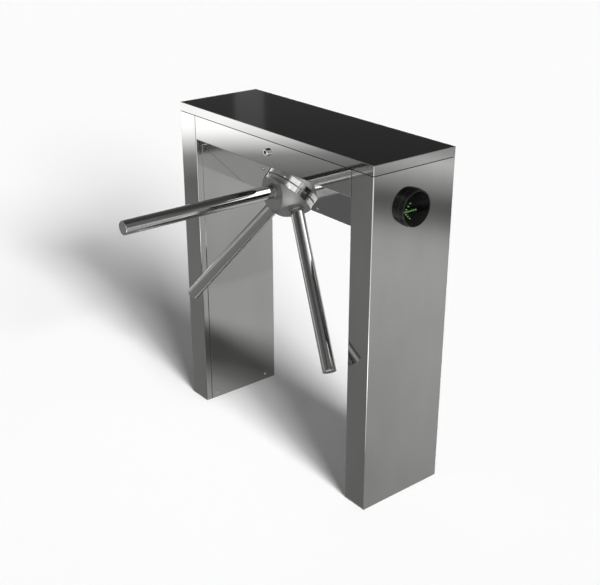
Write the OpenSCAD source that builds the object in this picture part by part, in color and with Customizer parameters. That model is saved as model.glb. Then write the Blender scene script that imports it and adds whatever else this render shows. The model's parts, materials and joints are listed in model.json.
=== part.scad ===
// Tripod turnstile in brushed stainless steel.
// Two legs carry a bridge whose front slopes back at 45 degrees. A hub with three arms
// turns on the sloped face, driven and braked by a gear cassette behind it. A hinged lid
// with a black glass top closes the bridge, and a cam lock in the fascia holds it shut.
// Frame: +Z up, -Y is the side of the tripod, +X to the right seen from that side.
// Origin: middle of the footprint, on the floor.

/* [Cabinet] */
// Overall length, across the passage
body_length = 850; // [780:5:1000]
// Depth of the cabinet, along the walking direction
body_depth = 280; // [270:1:300]
// Height over the lid
body_height = 980; // [940:5:1020]
// Width of each leg
leg_width = 80; // [72:1:110]
// Thickness of the cabinet sheet
sheet = 2; // [1.5:0.1:2.5]
// Height of the lid's rim
lid_rim = 25; // [23:1:30]
// Height of the upright fascia under the lid
fascia_height = 72; // [70:1:80]
// Depth and drop of the sloped face
slope_run = 165; // [160:1:172]
// Open joint between neighbouring panels
seam = 0.5; // [0.3:0.1:0.8]
// Dark gap between the lid's rim and the shells
lid_gap = 2; // [1.5:0.1:2.5]
// Margin round the removable cover on a leg's inner face
cover_margin = 20; // [16:1:28]
// Thickness of the floor plates
base_thickness = 6; // [5:1:10]

/* [Tripod] */
// Distance from the point where the arms' axes meet to an arm's tip
arm_reach = 535; // [450:5:545]
// Outer diameter of the arm tubes
arm_diameter = 38; // [34:1:40]
// Wall of the arm tubes
arm_wall = 2; // [1.5:0.1:3]
// Radius of the polished rim of the hub
rim_radius = 79; // [76:0.5:81]
// Height of the polished rim
rim_height = 16.5; // [12:0.5:18]
// Radius of the domed head, across the hub's axis
dome_radius = 82.5; // [82:0.5:85]
// Reach of the dome's nose beyond the point where the arms' axes meet
dome_rise = 88; // [84:0.5:90]
// Distance from the meeting point to the flat seat of each arm
arm_seat = 70; // [66:0.5:73]

/* [Mechanism] */
// Diameter of the main shaft at its front bearing
shaft_diameter = 30; // [26:1:32]
// Thickness of the cassette's two plates
plate_thickness = 8; // [6:1:10]
// Module of the gear pair
gear_module = 3; // [2.8:0.1:3.2]
// Teeth on the main gear
gear_teeth = 40; // [36:1:42]
// Teeth on the drive pinion
pinion_teeth = 20; // [18:1:22]
// Face width of the gears
gear_width = 12; // [8:1:14]

/* [Lock and indicators] */
// Radius of the lock's collar
lock_radius = 10; // [8:0.5:12]
// Height of the lock above the fascia's lower edge
lock_rise = 39; // [36:1:42]
// Radius of the round indicators on the legs
indicator_radius = 50; // [42:1:54]
// How far an indicator stands out of the leg
indicator_depth = 20; // [16:1:26]
// Spacing of the anchor holes along the walking direction
anchor_spacing = 180; // [140:5:200]
// Diameter of the anchor holes
anchor_diameter = 14; // [10:1:18]

/* [Hidden] */
$fn = 72;

// One overrun for every cut
cut = 1;
// Clearance of a screw in its hole, of a fixed fit, and of a running fit
hole_clearance = 0.25;
fit_clearance = 0.1;
running_clearance = 0.05;
// Least gap between bodies that move past each other
moving_gap = 0.4;

// Cabinet levels and planes
half_length = body_length / 2;
half_depth = body_depth / 2;
inner_x = half_length - leg_width;
rim_bottom_z = body_height - lid_rim;
shell_top_z = rim_bottom_z - lid_gap;
fascia_bottom_z = rim_bottom_z - fascia_height;
slope_bottom_z = fascia_bottom_z - slope_run;
slope_back_y = slope_run - half_depth;
slope_angle = 45;
fold_share = tan(slope_angle / 2);
slope_mid_y = (slope_back_y - half_depth) / 2;
slope_mid_z = (fascia_bottom_z + slope_bottom_z) / 2;
flange = 15;
steel = "lightsteelblue";

// Folds of the sheet: radius inside, and outside
bend_inner = 1;
bend = sheet + bend_inner;

// Legs
cover_overlap = 12;
cover_opening_bottom = 40;
cover_lift = 2;
cover_screw_inset = 22;
cover_screw_y = half_depth - cover_margin - cover_screw_inset;
cover_screw_z = cover_opening_bottom / 2;
cover_screw_radius = 2.5;
cover_screw_head = 5;
cover_screw_head_height = 3;
cover_screw_length = 8;
anchor_inset = leg_width / 2;
cable_hole_radius = 20;
window_margin = 35;
window_top_drop = 40;

// Front panel and mechanism screws, two columns by two rows on the sloped face
mount_screw_x = 48;
mount_screw_v = 82;
mount_screw_radius = 3;
mount_screw_head = 5.25;
mount_screw_head_height = 3.3;
shaft_opening_radius = 35;

// Cassette, measured inwards from the sloped face, square to it
plate_left = 80;
plate_right = 130;
plate_half_height = 98;
plate_corner = 12;
front_plate_start = sheet;
front_plate_end = front_plate_start + plate_thickness;
shaft_radius = shaft_diameter / 2;
shaft_step_height = 2.5;
shaft_shoulder_height = 3;
race_height = 4;
front_bearing_height = 16;
front_bearing_radius = shaft_radius + front_bearing_height;
front_bearing_width = 16;
front_bearing_gap = 10;
front_bearing_start = front_plate_end + front_bearing_gap;
front_bearing_end = front_bearing_start + front_bearing_width;
housing_wall = 9;
housing_lip = 3;
front_housing_end = front_bearing_end + housing_lip;
housing_flange = 14;
housing_flange_thickness = 8;
gear_gap = 6;
gear_start = front_housing_end + gear_gap;
gear_end = gear_start + gear_width;
gear_hub_radius = 24;
gear_hub_length = 9;
sensor_disc_start = gear_end + gear_hub_length;
sensor_disc_thickness = 2;
sensor_disc_end = sensor_disc_start + sensor_disc_thickness;
sensor_disc_radius = 50;
rear_plate_gap = 14;
rear_plate_start = sensor_disc_end + rear_plate_gap;
rear_plate_end = rear_plate_start + plate_thickness;
rear_shaft_radius = shaft_radius - shaft_step_height;
rear_bearing_height = 13.5;
rear_bearing_radius = rear_shaft_radius + rear_bearing_height;
rear_bearing_width = 15;
rear_bearing_gap = 2;
rear_bearing_start = rear_plate_end + rear_bearing_gap;
rear_bearing_end = rear_bearing_start + rear_bearing_width;
rear_housing_end = rear_bearing_end + housing_lip;
tail_radius = rear_shaft_radius - shaft_step_height;
brake_radius = 42;
brake_length = 24;
brake_wall = 4;
brake_bore_gap = 2;
brake_end = rear_housing_end + brake_length;
armature_start = brake_end + moving_gap;
armature_thickness = 6;
armature_hub_radius = 18;
armature_hub_length = 9;
armature_end = armature_start + armature_thickness + armature_hub_length;
pillar_radius = 8;
pillar_inset = 13;

// Gear pair
gear_pitch = gear_module * gear_teeth / 2;
pinion_pitch = gear_module * pinion_teeth / 2;
pinion_x = gear_pitch + pinion_pitch;
pressure_angle = 20;
addendum_share = 0.95;
dedendum_share = 1.25;
backlash = 0.4;
pinion_shaft_radius = 7;
gearbox_radius = 32;
gearbox_length = 38;
gearbox_flange_half = 34;
gearbox_flange_thickness = 6;
motor_radius = 28;
motor_length = 46;

// Sensor
fork_width = 12;
fork_half_length = 5;
fork_reach = 12;
fork_jaw = 3;
fork_gap = 3;
slot_width = 6;
slot_depth = 8;

// Hub and arms, measured outwards from the sloped face
arm_count = 3;
apex_depth = 8;
rim_gap = 1;
boss_radius = 50;
rim_top = rim_gap + rim_height;
spigot_radius = 12;
spigot_start = 38;
spigot_in_tube = 32;
collar_wall = 3;
collar_radius = arm_diameter / 2 + collar_wall;
collar_height = 4;
collar_edge = 1;
cap_thickness = 4;
cap_round = 1.6;
cap_plug = 12;
shaft_flange_radius = 32;
shaft_flange_recess = 2;
shaft_flange_end = front_plate_end - shaft_flange_recess;
hub_screw_circle = 24;
hub_screw_radius = 3;
hub_screw_head = 5;
hub_screw_head_height = 4;
hub_screw_reach = 9;
hub_screw_count = 6;
set_screw_radius = 4;
set_screw_length = 8;
set_screw_seat = 55;

// Lid and hinges
glass_thickness = 6;
lid_lip = 3;
lid_floor_z = body_height - glass_thickness - sheet;
buffer_radius = 5;
buffer_y = half_depth - flange + buffer_radius + seam;
hinge_radius = 4;
hinge_pin_radius = 2;
hinge_leaf = 1.5;
hinge_segment = 22;
hinge_stand_off = 0.5;
hinge_leaf_height = 19;
hinge_x_share = 0.32;
hinge_y = half_depth + hinge_radius + hinge_stand_off;
hinge_z = rim_bottom_z - lid_gap / 2;

// Lock
lock_x = 5;
lock_z = fascia_bottom_z + lock_rise;
lock_reach = 8;
lock_body_radius = 8;
lock_body_length = 20;
lock_plug_radius = 5.5;
lock_nut_radius = 12;
lock_nut_thickness = 4;
cam_width = 12;
cam_length = 28;
cam_thickness = 2;
keyway_width = 1.6;
keyway_height = 7;
keyway_depth = 3;
striker_width = 14;
striker_reach = 9;
striker_x = lock_x + cam_length - striker_width;
striker_room = 4;

// Indicators
indicator_y = -10;
indicator_drop = 31;
indicator_z = fascia_bottom_z - indicator_drop;
indicator_step = 2;
indicator_step_depth = 13;
indicator_wall = 4;
indicator_back = 3;
indicator_ledge = 5;
lens_thickness = 3;
lens_recess = 1;
lens_rise = 3;
lens_seat = indicator_depth - lens_recess - lens_thickness;
neck_radius = 16;
neck_length = 14;
board_thickness = 1.6;
led_radius = 1.5;
led_height = 4;
led_pitch = 6.5;
board_seat = lens_seat - moving_gap - led_height - board_thickness;
arrow_steps = 6;
barb_steps = 3;
arrow_tail_x = 3;
arrow_drop = 4;

// Electronics
board_length = 180;
board_height = 110;
board_end_gap = 20;
board_left = inner_x - board_end_gap;
standoff_radius = 4;
standoff_length = 14;
board_inset = 8;
supply_length = 150;
supply_front_gap = 20;
supply_depth = half_depth - slope_back_y - flange - supply_front_gap;
supply_height = 42;
terminal_length = 90;
terminal_depth = 30;
terminal_height = 34;
terminal_pitch = 10;

// Places and turns shared by several modules

// Frame on the sloped face: local +Z points into the cabinet, local +Y down the slope
module on_slope() {
    translate([0, slope_mid_y, slope_mid_z]) rotate([-slope_angle, 0, 0]) children();
}

// Frame of one arm: local +Z runs from the meeting point out along the arm
module along_arm(index) {
    on_slope()
        translate([0, 0, apex_depth])
            rotate([0, 0, 360 / arm_count * index])
                rotate([180 - slope_angle, 0, 0])
                    children();
}

// Puts a profile drawn in Y and Z on the plane x, with a thickness along X
module profile_yz(x, thickness) {
    translate([x, 0, 0]) rotate([90, 0, 90]) linear_extrude(thickness) children();
}

module both_sides() {
    children();
    mirror([1, 0, 0]) children();
}

// Plate with round corners between two opposite corner points
module round_plate(low, high, thickness, corner) {
    translate([low[0] + corner, low[1], 0])
        cube([high[0] - low[0] - 2 * corner, high[1] - low[1], thickness]);
    translate([low[0], low[1] + corner, 0])
        cube([high[0] - low[0], high[1] - low[1] - 2 * corner, thickness]);
    for (x = [low[0] + corner, high[0] - corner], y = [low[1] + corner, high[1] - corner])
        translate([x, y, 0]) cylinder(r = corner, h = thickness);
}

module ring(outer, inner, height) {
    difference() {
        cylinder(r = outer, h = height);
        translate([0, 0, -cut]) cylinder(r = inner, h = height + 2 * cut);
    }
}

// Section of the bridge's front, in Y and Z, moved inwards by inset
function bridge_line(inset) = [
    [inset - half_depth, shell_top_z],
    [inset - half_depth, fascia_bottom_z + inset * fold_share],
    [slope_back_y + inset * fold_share, slope_bottom_z + inset],
    [half_depth - sheet, slope_bottom_z + inset]
];

// Solid inside that line, its two folds rounded about centres one bend radius inside
module bridge_block(half, inset, overrun) {
    radius = bend - inset;
    set_back = radius * fold_share;
    slope_set_back = set_back * cos(slope_angle) * [1, -1];
    line = bridge_line(inset);
    centres = bridge_line(bend);
    profile_yz(-half, 2 * half) polygon([
        line[0] + [0, overrun],
        line[1] + [0, set_back],
        line[1] + slope_set_back,
        line[2] - slope_set_back,
        line[2] + [set_back, 0],
        line[3] + [overrun, 0],
        [line[3][0], line[0][1]] + [overrun, overrun]
    ]);
    for (centre = [centres[1], centres[2]])
        translate([-half, centre[0], centre[1]])
            rotate([0, 90, 0]) cylinder(r = radius, h = 2 * half);
}

function reversed(points) = [for (i = [len(points) - 1 : -1 : 0]) points[i]];

// Outline of a leg's cover in Y and Z, drawn in by inset
function cover_outline(inset, bottom) =
    let (side = half_depth - cover_margin - inset)
    [
        [-side, bottom],
        [side, bottom],
        [side, slope_bottom_z - inset],
        [slope_back_y - inset * fold_share, slope_bottom_z - inset],
        [-side, slope_bottom_z + slope_back_y + side - inset / cos(slope_angle)]
    ];

// Legs

module cover_screw_places() {
    for (side = [-1, 1])
        translate([inner_x - sheet, side * cover_screw_y, cover_screw_z])
            rotate([0, -90, 0]) children();
}

// Openings in a leg's inner wall: one behind the cover, one for cables into the bridge,
// and the threaded holes of the cover's screws
module leg_wall_openings() {
    profile_yz(inner_x - cut, sheet + 2 * cut) {
        polygon(cover_outline(cover_overlap, cover_opening_bottom));
        translate([slope_back_y, slope_bottom_z + window_margin])
            square([half_depth - slope_back_y - window_margin,
                    shell_top_z - slope_bottom_z - window_margin - window_top_drop]);
    }
    cover_screw_places()
        translate([0, 0, -cover_screw_length])
            cylinder(r = cover_screw_radius, h = cover_screw_length);
}

module leg_shell() {
    color(steel) {
        difference() {
            round_plate([inner_x, -half_depth], [half_length, half_depth], shell_top_z, bend);
            translate([0, 0, -cut])
                round_plate([inner_x + sheet, sheet - half_depth],
                            [half_length - sheet, half_depth - sheet],
                            shell_top_z - sheet + cut, bend_inner);
            translate([inner_x + flange, flange - half_depth, -cut])
                cube([leg_width - 2 * flange, body_depth - 2 * flange,
                      shell_top_z + 2 * cut]);
            leg_wall_openings();
            translate([half_length, indicator_y, indicator_z])
                rotate([0, -90, 0])
                    translate([0, 0, -cut])
                        cylinder(r = neck_radius + hole_clearance, h = sheet + 2 * cut);
        }
    }
}

// Cover screwed on the outside of the leg's inner wall
module leg_cover() {
    color(steel)
        difference() {
            profile_yz(inner_x - sheet, sheet) polygon(cover_outline(seam, cover_lift));
            cover_screw_places()
                translate([0, 0, -cover_screw_length])
                    cylinder(r = cover_screw_radius + hole_clearance,
                             h = cover_screw_length + cut);
        }
}

// Button-head screw: its head stands on local z = 0 and its shank runs to -length
module button_screw(radius, head, head_height, length) {
    difference() {
        rotate_extrude() polygon([
            [0, -length],
            [radius, -length],
            [radius, 0],
            [head, 0],
            [head, head_height / 3],
            [head - head_height / 3, head_height * 2 / 3],
            [head - head_height, head_height],
            [0, head_height]
        ]);
        translate([0, 0, head_height / 3])
            cylinder(r = radius / 2, h = head_height, $fn = 6);
    }
}

module cover_screws() {
    color("silver")
        both_sides()
            cover_screw_places()
                button_screw(cover_screw_radius, cover_screw_head,
                             cover_screw_head_height, cover_screw_length);
}

module base_plate() {
    color("dimgray")
        difference() {
            round_plate([inner_x + sheet, sheet - half_depth],
                        [half_length - sheet, half_depth - sheet],
                        base_thickness, bend_inner);
            for (side = [-1, 1])
                translate([half_length - anchor_inset, side * anchor_spacing / 2, -cut])
                    cylinder(r = anchor_diameter / 2, h = base_thickness + 2 * cut);
            translate([half_length - anchor_inset, 0, -cut])
                cylinder(r = cable_hole_radius, h = base_thickness + 2 * cut);
        }
}

module left_leg_shell() { mirror([1, 0, 0]) leg_shell(); }
module right_leg_shell() { leg_shell(); }
module left_leg_cover() { mirror([1, 0, 0]) leg_cover(); }
module right_leg_cover() { leg_cover(); }
module left_base_plate() { mirror([1, 0, 0]) base_plate(); }
module right_base_plate() { base_plate(); }

// Bridge

module mount_screw_places() {
    on_slope()
        for (x = [-1, 1], y = [-1, 1])
            translate([x * mount_screw_x, y * mount_screw_v, 0])
                rotate([180, 0, 0]) children();
}

// Frame of the lock: local +Z points out of the fascia towards the user
module at_lock() {
    translate([lock_x, -half_depth, lock_z]) rotate([90, 0, 0]) children();
}

module front_panel() {
    half = inner_x - seam;
    color(steel)
        difference() {
            union() {
                difference() {
                    bridge_block(half, 0, 0);
                    bridge_block(half + cut, sheet, cut);
                }
                both_sides()
                    profile_yz(half - sheet, sheet)
                        polygon(concat(bridge_line(sheet / 2), reversed(bridge_line(flange))));
                translate([-half, -half_depth, shell_top_z - sheet])
                    cube([2 * half, flange, sheet]);
            }
            on_slope()
                translate([0, 0, -cut]) cylinder(r = shaft_opening_radius, h = sheet + 2 * cut);
            mount_screw_places()
                translate([0, 0, -sheet - cut])
                    cylinder(r = mount_screw_radius + hole_clearance, h = sheet + 2 * cut);
            at_lock()
                translate([0, 0, -sheet - cut])
                    cylinder(r = lock_body_radius + fit_clearance, h = sheet + 2 * cut);
            translate([striker_x - striker_room, sheet - half_depth, shell_top_z - sheet - cut])
                cube([striker_width + 2 * striker_room, flange, sheet + 2 * cut]);
        }
}

module back_panel() {
    half = inner_x - seam;
    wall_height = shell_top_z - slope_bottom_z;
    flange_start = slope_bottom_z + flange + seam;
    color(steel) {
        translate([-half, half_depth - sheet, slope_bottom_z])
            cube([2 * half, sheet, wall_height]);
        translate([-half, half_depth - flange, shell_top_z - sheet])
            cube([2 * half, flange, sheet]);
        both_sides()
            translate([half - sheet, half_depth - flange, flange_start])
                cube([sheet, flange, shell_top_z - flange_start]);
    }
}

// Four rubber buffers that the closed lid lies on
module lid_buffers() {
    color([0.1, 0.1, 0.1])
        both_sides()
            for (side = [-1, 1])
                translate([inner_x * 3 / 4, side * buffer_y, shell_top_z])
                    cylinder(r = buffer_radius, h = lid_floor_z - shell_top_z - moving_gap);
}

module mechanism_screws() {
    color("silver")
        mount_screw_places()
            button_screw(mount_screw_radius, mount_screw_head, mount_screw_head_height,
                         front_plate_end);
}

// Cassette behind the sloped face

module pillar_places() {
    for (x = [pillar_inset - plate_left, plate_right - pillar_inset],
         y = [pillar_inset - plate_half_height, plate_half_height - pillar_inset])
        translate([x, y, 0]) children();
}

module cassette_plate(start) {
    translate([0, 0, start])
        round_plate([-plate_left, -plate_half_height], [plate_right, plate_half_height],
                    plate_thickness, plate_corner);
}

module front_plate() {
    color("slategray")
        difference() {
            on_slope() cassette_plate(front_plate_start);
            on_slope()
                cylinder(r = shaft_opening_radius, h = front_plate_end + cut);
            mount_screw_places()
                translate([0, 0, -front_plate_end - cut])
                    cylinder(r = mount_screw_radius, h = front_plate_end + cut);
        }
}

module rear_plate() {
    color("slategray")
        on_slope()
            difference() {
                cassette_plate(rear_plate_start);
                translate([0, 0, rear_plate_start - cut])
                    cylinder(r = rear_shaft_radius + 2 * race_height,
                             h = plate_thickness + 2 * cut);
                translate([pinion_x, 0, rear_plate_start - cut])
                    cylinder(r = pinion_shaft_radius * 2, h = plate_thickness + 2 * cut);
            }
}

module plate_pillars() {
    color("silver")
        on_slope()
            pillar_places()
                translate([0, 0, front_plate_end])
                    cylinder(r = pillar_radius, h = rear_plate_start - front_plate_end);
}

// Flanged housing: the flange lies on the plate at local z = 0
module bearing_housing(bearing_radius, bearing_start, bearing_width, length, mouth) {
    difference() {
        union() {
            cylinder(r = bearing_radius + housing_wall, h = length);
            cylinder(r = bearing_radius + housing_flange, h = housing_flange_thickness);
        }
        translate([0, 0, -cut])
            cylinder(r = mouth, h = bearing_start + cut);
        translate([0, 0, bearing_start - cut])
            cylinder(r = bearing_radius, h = bearing_width + cut);
        translate([0, 0, -cut])
            cylinder(r = bearing_radius - race_height, h = length + 2 * cut);
    }
}

module front_bearing_housing() {
    color("darkgray")
        on_slope()
            translate([0, 0, front_plate_end])
                bearing_housing(front_bearing_radius, front_bearing_start - front_plate_end,
                                front_bearing_width, front_housing_end - front_plate_end,
                                shaft_opening_radius);
}

module rear_bearing_housing() {
    color("darkgray")
        on_slope()
            translate([0, 0, rear_plate_end])
                bearing_housing(rear_bearing_radius, rear_bearing_start - rear_plate_end,
                                rear_bearing_width, rear_housing_end - rear_plate_end,
                                rear_bearing_radius);
}

// Outer ring of a sealed ball bearing: the two seals reach almost to the inner ring
module outer_ring(bore, outer, width) {
    seal = width / 10;
    difference() {
        cylinder(r = outer, h = width);
        translate([0, 0, -cut])
            cylinder(r = bore + race_height + moving_gap, h = width + 2 * cut);
        translate([0, 0, seal])
            cylinder(r = outer - race_height, h = width - 2 * seal);
    }
}

module front_bearing_outer() {
    color("gainsboro")
        on_slope()
            translate([0, 0, front_bearing_start])
                outer_ring(shaft_radius, front_bearing_radius, front_bearing_width);
}

module front_bearing_inner() {
    color("gainsboro")
        on_slope()
            translate([0, 0, front_bearing_start])
                ring(shaft_radius + race_height, shaft_radius, front_bearing_width);
}

module rear_bearing_outer() {
    color("gainsboro")
        on_slope()
            translate([0, 0, rear_bearing_start])
                outer_ring(rear_shaft_radius, rear_bearing_radius, rear_bearing_width);
}

module rear_bearing_inner() {
    color("gainsboro")
        on_slope()
            translate([0, 0, rear_bearing_start])
                ring(rear_shaft_radius + race_height, rear_shaft_radius,
                     rear_bearing_width);
}

// Gearbox and motor stand on the rear plate behind the pinion
module gearbox() {
    color("dimgray")
        on_slope()
            translate([pinion_x, 0, rear_plate_end])
                difference() {
                    union() {
                        cylinder(r = gearbox_radius, h = gearbox_length);
                        round_plate([-gearbox_flange_half, -gearbox_flange_half],
                                    [gearbox_flange_half, gearbox_flange_half],
                                    gearbox_flange_thickness, plate_corner);
                    }
                    translate([0, 0, -cut])
                        cylinder(r = pinion_shaft_radius + moving_gap,
                                 h = gearbox_length / 2 + cut);
                }
}

module motor() {
    fin_count = 24;
    fin_depth = 1.5;
    fin_width = 3;
    end_cap = 5;
    color("black")
        on_slope()
            translate([pinion_x, 0, rear_plate_end + gearbox_length])
                difference() {
                    cylinder(r = motor_radius, h = motor_length);
                    for (i = [0 : fin_count - 1])
                        rotate([0, 0, 360 / fin_count * i])
                            translate([motor_radius - fin_depth, -fin_width / 2, end_cap])
                                cube([fin_depth + cut, fin_width, motor_length - 2 * end_cap]);
                }
}

module brake_coil() {
    coil_inner = armature_hub_radius + brake_bore_gap;
    coil_outer = brake_radius - brake_wall;
    coil_depth = brake_length / 2;
    color("darkred")
        on_slope()
            translate([0, 0, rear_housing_end])
                difference() {
                    ring(brake_radius, tail_radius + brake_bore_gap, brake_length);
                    translate([0, 0, brake_length - coil_depth])
                        ring(coil_outer, coil_inner, coil_depth + cut);
                }
}

module brake_armature() {
    color("silver")
        on_slope()
            translate([0, 0, armature_start])
                difference() {
                    union() {
                        cylinder(r = brake_radius - brake_wall / 2, h = armature_thickness);
                        cylinder(r = armature_hub_radius,
                                 h = armature_thickness + armature_hub_length);
                    }
                    translate([0, 0, -cut])
                        cylinder(r = tail_radius, h = armature_end - armature_start + 2 * cut);
                }
}

module fork_sensor() {
    reach_end = sensor_disc_radius + fork_reach;
    fork_start = sensor_disc_start - fork_gap - fork_jaw;
    fork_length = sensor_disc_thickness + 2 * fork_gap + 2 * fork_jaw;
    color([0.12, 0.12, 0.12])
        on_slope()
            difference() {
                translate([-reach_end, -fork_width / 2, fork_start])
                    cube([fork_reach + slot_depth, fork_width, fork_length]);
                translate([-sensor_disc_radius - fork_half_length, -fork_width / 2 - cut,
                           fork_start + fork_jaw])
                    cube([fork_reach + slot_depth, fork_width + 2 * cut,
                          fork_length - 2 * fork_jaw]);
            }
}

module sensor_bracket() {
    fork_end = sensor_disc_end + fork_gap + fork_jaw;
    color("silver")
        on_slope()
            translate([-sensor_disc_radius - fork_reach, -fork_width, fork_end])
                cube([fork_reach + slot_depth, 2 * fork_width, rear_plate_start - fork_end]);
}

// Gears

function involute(base, turn) =
    base * [cos(turn) + turn * PI / 180 * sin(turn), sin(turn) - turn * PI / 180 * cos(turn)];
function turned(point, angle) =
    [point[0] * cos(angle) - point[1] * sin(angle),
     point[0] * sin(angle) + point[1] * cos(angle)];
// Roll angle at which the involute of a base circle reaches a radius
function roll_at(base, radius) = sqrt(pow(max(radius / base, 1), 2) - 1) * 180 / PI;
function tooth_flank(base, low, high, steps) = [
    for (i = [0 : steps])
        involute(base, roll_at(base, low) + (roll_at(base, high) - roll_at(base, low)) * i / steps)
];

// Outline of a spur gear whose first tooth points along +X
function gear_outline(teeth) =
    let (pitch = gear_module * teeth / 2,
         base = pitch * cos(pressure_angle),
         tip = pitch + gear_module * addendum_share,
         root = pitch - gear_module * dedendum_share,
         at_pitch = involute(base, roll_at(base, pitch)),
         half_tooth = 90 / teeth - backlash / 4 / pitch * 180 / PI,
         shift = atan2(at_pitch[1], at_pitch[0]) + half_tooth,
         flank = concat([[root, 0]], tooth_flank(base, max(base, root), tip, 4)))
    [
        for (i = [0 : teeth - 1])
            each concat(
                [for (p = flank) turned(p, 360 / teeth * i - shift)],
                [for (p = reversed(flank)) turned([p[0], -p[1]], 360 / teeth * i + shift)]
            )
    ];

module main_gear() {
    web_hole_radius = 9;
    web_hole_count = 6;
    web_circle = (gear_pitch + gear_hub_radius) / 2 - gear_module / 2;
    color("goldenrod")
        on_slope()
            difference() {
                union() {
                    translate([0, 0, gear_start])
                        linear_extrude(gear_width) polygon(gear_outline(gear_teeth));
                    translate([0, 0, gear_start])
                        cylinder(r = gear_hub_radius, h = sensor_disc_start - gear_start);
                }
                translate([0, 0, gear_start - cut])
                    cylinder(r = shaft_radius, h = sensor_disc_start - gear_start + 2 * cut);
                for (i = [0 : web_hole_count - 1])
                    rotate([0, 0, 360 / web_hole_count * i])
                        translate([web_circle, 0, gear_start - cut])
                            cylinder(r = web_hole_radius, h = gear_width + 2 * cut);
            }
}

module drive_pinion() {
    color("silver")
        on_slope()
            translate([pinion_x, 0, gear_start])
                difference() {
                    linear_extrude(gear_width)
                        rotate([0, 0, 180 + 180 / pinion_teeth])
                            polygon(gear_outline(pinion_teeth));
                    translate([0, 0, -cut])
                        cylinder(r = pinion_shaft_radius, h = gear_width + 2 * cut);
                }
}

module pinion_shaft() {
    color("silver")
        on_slope()
            translate([pinion_x, 0, gear_start])
                cylinder(r = pinion_shaft_radius,
                         h = rear_plate_end + gearbox_length / 2 - moving_gap - gear_start);
}

// Six slots, one for every 60 degrees of turning
module sensor_disc() {
    slot_count = 2 * arm_count;
    color("dimgray")
        on_slope()
            translate([0, 0, sensor_disc_start])
                difference() {
                    ring(sensor_disc_radius, shaft_radius, sensor_disc_thickness);
                    for (i = [0 : slot_count - 1])
                        rotate([0, 0, 360 / slot_count * (i + 1 / 2)])
                            translate([sensor_disc_radius - slot_depth, -slot_width / 2, -cut])
                                cube([slot_depth + cut, slot_width,
                                      sensor_disc_thickness + 2 * cut]);
                }
}

// Main shaft, drawn as a half section: radius, depth from the sloped face
module main_shaft() {
    shoulder_radius = shaft_radius + shaft_shoulder_height;
    color("silver")
        on_slope()
            difference() {
                rotate_extrude() polygon([
                    [0, -rim_gap],
                    [shaft_flange_radius, -rim_gap],
                    [shaft_flange_radius, shaft_flange_end],
                    [shoulder_radius, shaft_flange_end],
                    [shoulder_radius, front_bearing_start],
                    [shaft_radius, front_bearing_start],
                    [shaft_radius, sensor_disc_end],
                    [rear_shaft_radius, sensor_disc_end],
                    [rear_shaft_radius, rear_housing_end],
                    [tail_radius, rear_housing_end],
                    [tail_radius, armature_end],
                    [0, armature_end]
                ]);
                hub_screw_places() {
                    translate([0, 0, -cut])
                        cylinder(r = hub_screw_radius + hole_clearance,
                                 h = shaft_flange_end + 2 * cut);
                    translate([0, 0, shaft_flange_end - hub_screw_head_height])
                        cylinder(r = hub_screw_head + hole_clearance,
                                 h = hub_screw_head_height + cut);
                }
            }
}

// Hub

module hub_screw_places() {
    for (i = [0 : hub_screw_count - 1])
        rotate([0, 0, 360 / hub_screw_count * (i + 1 / 2)])
            translate([hub_screw_circle, 0, -rim_gap]) children();
}

module hub_rim() {
    edge = 1;
    color("gainsboro")
        on_slope()
            rotate([180, 0, 0])
                rotate_extrude() polygon([
                    [boss_radius, rim_gap],
                    [rim_radius - edge, rim_gap],
                    [rim_radius, rim_gap + edge],
                    [rim_radius, rim_top - edge],
                    [rim_radius - edge, rim_top],
                    [boss_radius, rim_top]
                ]);
}

// Half section of the head: boss inside the rim, then the dome about the meeting point
module hub_head() {
    edge_angle = acos((rim_top + apex_depth) / dome_rise);
    steps = 24;
    facet_size = 2 * dome_rise;
    color("silver")
        difference() {
            union() {
                difference() {
                    on_slope()
                        rotate([180, 0, 0])
                            rotate_extrude() polygon(concat(
                                [[0, rim_gap], [boss_radius, rim_gap], [boss_radius, rim_top]],
                                [for (i = [0 : steps])
                                    let (a = edge_angle * (1 - i / steps))
                                    [dome_radius * sin(a), dome_rise * cos(a) - apex_depth]]
                            ));
                    for (k = [0 : arm_count - 1])
                        along_arm(k)
                            translate([-facet_size / 2, -facet_size / 2, arm_seat])
                                cube(facet_size);
                }
                for (k = [0 : arm_count - 1])
                    along_arm(k)
                        translate([0, 0, arm_seat]) {
                            translate([0, 0, -collar_height])
                                cylinder(r = collar_radius, h = 2 * collar_height - collar_edge);
                            translate([0, 0, collar_height - collar_edge])
                                cylinder(r1 = collar_radius, r2 = collar_radius - collar_edge,
                                         h = collar_edge);
                        }
            }
            for (k = [0 : arm_count - 1])
                along_arm(k) {
                    translate([0, 0, spigot_start])
                        cylinder(r = spigot_radius, h = dome_rise);
                    translate([0, 0, arm_seat])
                        cylinder(r = arm_diameter / 2, h = dome_rise);
                }
            set_screw_places()
                translate([0, 0, -cut]) cylinder(r = set_screw_radius, h = set_screw_room());
            on_slope()
                hub_screw_places()
                    translate([0, 0, -hub_screw_reach])
                        cylinder(r = hub_screw_radius, h = hub_screw_reach + cut);
        }
}

// Depth from the hub's back face to the side of a spigot, along a set screw
function set_screw_room() =
    set_screw_seat * cos(slope_angle) - apex_depth - rim_gap
    - spigot_radius / cos(slope_angle) + set_screw_radius;

// Frame of a set screw: local +Z runs outwards from the hub's back face
module set_screw_places() {
    on_slope()
        for (k = [0 : arm_count - 1])
            rotate([0, 0, 360 / arm_count * k])
                translate([0, -set_screw_seat * sin(slope_angle), -rim_gap])
                    rotate([180, 0, 0]) children();
}

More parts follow.
